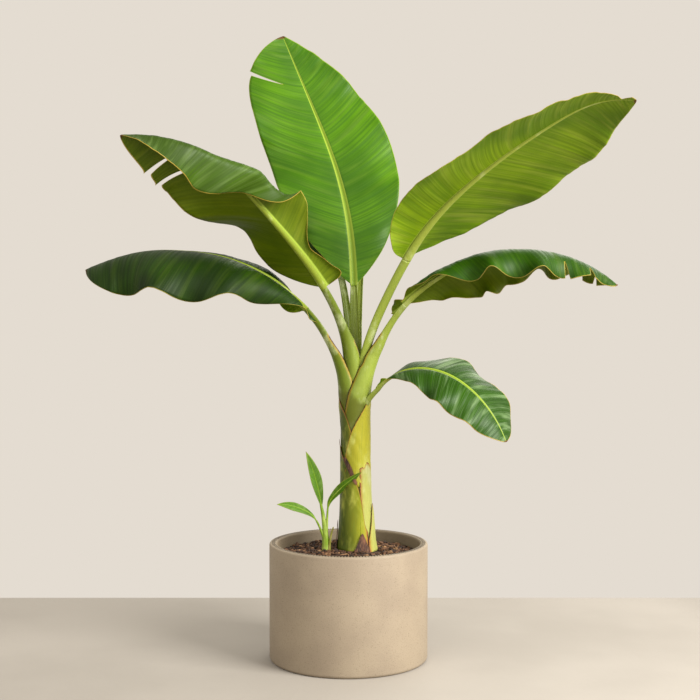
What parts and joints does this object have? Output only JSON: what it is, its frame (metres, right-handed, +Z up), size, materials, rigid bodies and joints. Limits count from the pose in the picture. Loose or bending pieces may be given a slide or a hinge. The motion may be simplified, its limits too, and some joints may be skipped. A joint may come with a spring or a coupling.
{
  "type": "potted banana plant",
  "caption": "Young banana plant with broad arching leaves on a sheathed pseudostem and a side shoot at its foot, in a round straight-sided stoneware planter.",
  "frame": {"origin": "middle of the pot's flat underside", "axes": "+Z up along the pot and the stem, -Y towards the front, +X towards the right seen from the front"},
  "size_m": [1.2868, 1.045, 1.6038],
  "materials": {
    "stoneware": "matt unglazed stoneware, beige, fine pores",
    "soil": "coarse bark potting mix, dark brown, rough",
    "stem": "satin living stem, yellow-green with brown flecks",
    "sheath": "satin old leaf sheath, pale green with a brown torn edge",
    "dry_sheath": "dry papery sheath remnant, brown",
    "petiole": "waxy leaf stalk, pale green with thin dark margins",
    "leaf": "satin leaf blade with fine parallel veins, mid green, thin dry edge"
  },
  "bodies": {
    "root": {"pot": "stoneware", "soil": "soil", "pseudostem": "stem", "sheath_cut_right": "sheath", "sheath_dry_edge": "sheath", "sheath_pale_right": "sheath", "sheath_foot_right": "sheath", "sheath_foot_dry": "dry_sheath", "sheath_foot_left": "dry_sheath", "petiole_centre": "petiole", "petiole_upper_left": "petiole", "petiole_lower_left": "petiole", "petiole_upper_right": "petiole", "petiole_lower_right": "petiole", "petiole_small_right": "petiole", "petiole_back_left": "petiole", "petiole_back_right": "petiole", "blade_centre": "leaf", "blade_upper_left": "leaf", "blade_lower_left": "leaf", "blade_upper_right": "leaf", "blade_lower_right": "leaf", "blade_small_right": "leaf", "blade_back_left": "leaf", "blade_back_right": "leaf", "sucker_stem": "petiole", "sucker_leaf_upright": "leaf", "sucker_leaf_right": "leaf", "sucker_leaf_left": "leaf", "sucker_stub": "petiole"}
  },
  "joints": []
}
